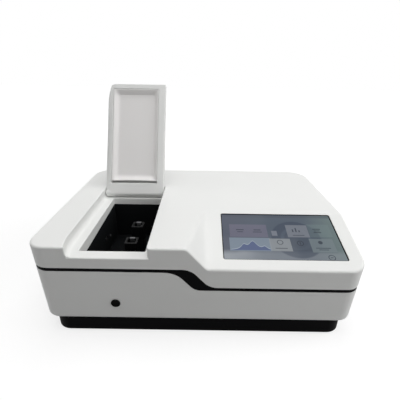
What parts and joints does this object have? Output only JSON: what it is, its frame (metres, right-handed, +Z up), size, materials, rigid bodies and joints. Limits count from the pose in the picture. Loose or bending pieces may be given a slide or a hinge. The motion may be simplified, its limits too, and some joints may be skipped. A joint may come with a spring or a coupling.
{
  "type": "bench spectrophotometer",
  "caption": "Double-beam bench spectrophotometer with a hinged sample lid standing open over a black well with cell holders, a sloped touch screen and a stepped black trim band.",
  "frame": {"origin": "on the bench under the middle of the casing", "axes": "+X to the operator's right along the front, +Y from the front to the back, +Z up"},
  "size_m": [0.4744, 0.3418, 0.3447],
  "materials": {
    "white_plastic": "off-white moulded plastic, fine texture",
    "liner_plastic": "off-white moulded plastic, fine texture",
    "trim_black": "black plastic, satin",
    "plinth_black": "black plastic, satin",
    "matt_black": "black plastic, dull",
    "rubber": "black rubber",
    "screen_glass": "touch screen glass over a lit display",
    "zinc_steel": "zinc-plated sheet steel",
    "bright_steel": "bright steel",
    "anodised_black": "black anodised aluminium",
    "aluminium": "cast and machined aluminium",
    "mirror_coat": "coated glass",
    "quartz": "fused quartz",
    "lamp_glass": "quartz envelope",
    "board_green": "circuit board, solder mask"
  },
  "bodies": {
    "housing": {"top_cover": "white_plastic", "lower_case": "white_plastic", "trim_band": "trim_black", "base_pan": "plinth_black", "foot_front_left": "rubber", "foot_front_right": "rubber", "foot_rear_left": "rubber", "foot_rear_right": "rubber", "base_screw_front_left": "zinc_steel", "base_screw_front_right": "zinc_steel", "base_screw_rear_left": "zinc_steel", "base_screw_rear_right": "zinc_steel", "hinge_pin_left": "bright_steel", "hinge_pin_right": "bright_steel", "screen_glass": "screen_glass", "display_panel": "bright_steel", "display_bracket": "zinc_steel", "sample_well": "matt_black", "cell_holder_front": "anodised_black", "cell_holder_rear": "anodised_black", "holder_spring_front": "bright_steel", "holder_spring_rear": "bright_steel", "beam_window_front": "quartz", "beam_window_rear": "quartz", "grating_motor": "anodised_black", "lamp_house": "zinc_steel", "tungsten_lamp": "lamp_glass", "deuterium_lamp": "lamp_glass", "source_mirror_motor": "anodised_black", "filter_motor": "bright_steel", "entrance_slit": "anodised_black", "exit_slit": "anodised_black", "collimating_mirror": "mirror_coat", "focusing_mirror": "mirror_coat", "beam_splitter": "quartz", "fold_mirror": "mirror_coat", "optical_bench": "aluminium", "detector_board": "board_green", "detector_front": "bright_steel", "detector_rear": "bright_steel", "main_board": "board_green", "power_supply": "zinc_steel", "rear_panel": "zinc_steel", "fan_frame": "matt_black", "power_inlet": "matt_black", "switch_frame": "matt_black", "serial_port": "zinc_steel", "usb_port": "bright_steel"},
    "lid": {"lid_shell": "white_plastic", "lid_liner": "liner_plastic"},
    "rocker": {"power_rocker": "rubber"},
    "plug": {"port_plug": "rubber"},
    "filter_disc": {"filter_wheel": "anodised_black"},
    "grating_turntable": {"grating_table": "aluminium", "grating": "mirror_coat"},
    "pinion": {"grating_pinion": "bright_steel"},
    "source_selector": {"source_mirror_arm": "aluminium", "source_mirror": "mirror_coat"},
    "fan": {"fan_rotor": "matt_black"}
  },
  "joints": [
    {"name": "lid_hinge", "type": "hinge", "parent": "housing", "child": "lid", "pos_m": [-0.1295, 0.0454, 0.14685], "axis": [1, 0, 0], "range_deg": [0, 115.7]},
    {"name": "power_switch", "type": "hinge", "parent": "housing", "child": "rocker", "pos_m": [-0.061, 0.16157, 0.05824], "axis": [1, 0, 0], "range_deg": [-14, 0]},
    {"name": "plug_pull", "type": "slide", "parent": "housing", "child": "plug", "axis": [0, -0.999, -0.0436], "range_m": [0, 0.014]},
    {"name": "filter_spin", "type": "hinge", "parent": "housing", "child": "filter_disc", "pos_m": [0.0095, 0.1007, 0.103], "axis": [1, 0, 0], "continuous": true},
    {"name": "grating_turn", "type": "hinge", "parent": "housing", "child": "grating_turntable", "pos_m": [0.062, 0.013, 0.06], "axis": [0, 0, 1], "range_deg": [-18, 18]},
    {"name": "pinion_turn", "type": "hinge", "parent": "housing", "child": "pinion", "pos_m": [0.02, 0.013, 0.06], "axis": [0, 0, 1], "range_deg": [-135, 135]},
    {"name": "source_swing", "type": "hinge", "parent": "housing", "child": "source_selector", "pos_m": [-0.034, 0.1007, 0.06], "axis": [0, 0, 1], "range_deg": [0, 60]},
    {"name": "fan_spin", "type": "hinge", "parent": "housing", "child": "fan", "pos_m": [-0.15, 0.15747, 0.07444], "axis": [0, 0.999, -0.0436], "continuous": true}
  ],
  "couplings": [
    {"joint": "pinion_turn", "follows": "grating_turn", "ratio": -6}
  ]
}
